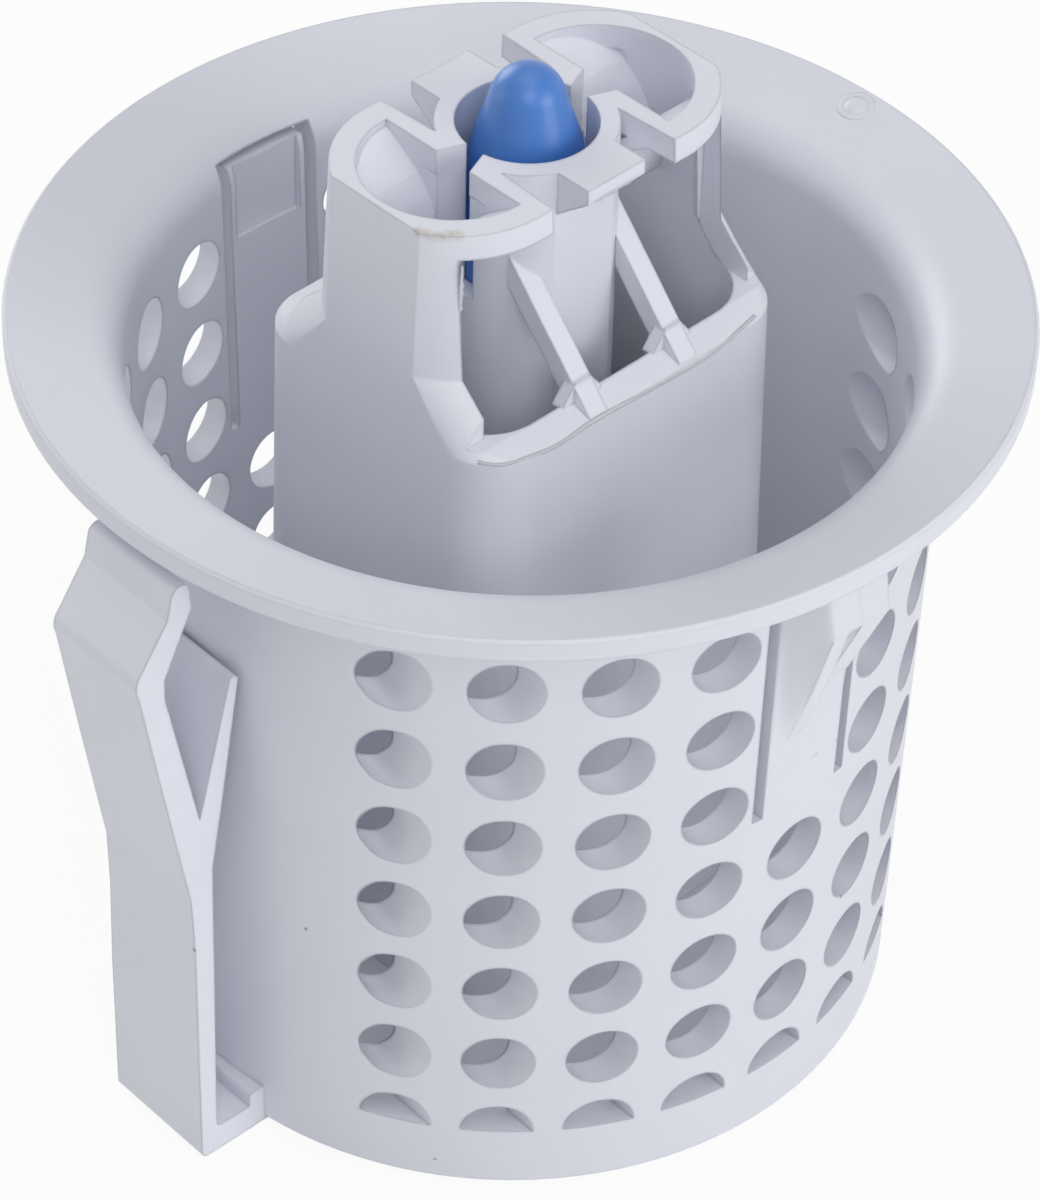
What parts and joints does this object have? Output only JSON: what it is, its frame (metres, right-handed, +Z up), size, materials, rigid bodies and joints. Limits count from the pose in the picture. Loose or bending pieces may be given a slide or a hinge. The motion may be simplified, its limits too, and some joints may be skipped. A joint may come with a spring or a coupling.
{
  "type": "lint filter",
  "caption": "Perforated lint filter basket with a wide flared rim, side spring clips, a finger lever and a hollow centre column with a blue sprung plunger.",
  "frame": {"origin": "on the basket's axis, at its lower edge", "axes": "+Z up along the basket's axis, +X through one spring clip, -Y towards the finger lever"},
  "size_m": [0.1, 0.1038, 0.1099],
  "materials": {
    "shell": "satin moulded",
    "plunger": "smooth moulded",
    "spring": "drawn wire"
  },
  "bodies": {
    "basket_body": {"basket": "shell", "column": "shell", "pin_spring": "spring"},
    "pin_body": {"lock_pin": "plunger"}
  },
  "joints": [
    {"name": "pin_press", "type": "slide", "parent": "basket_body", "child": "pin_body", "axis": [0, 0, 1], "range_m": [-0.008, 0], "stiffness_N_per_m": 150, "springref_m": 0.004, "deforming": ["pin_spring"]}
  ]
}
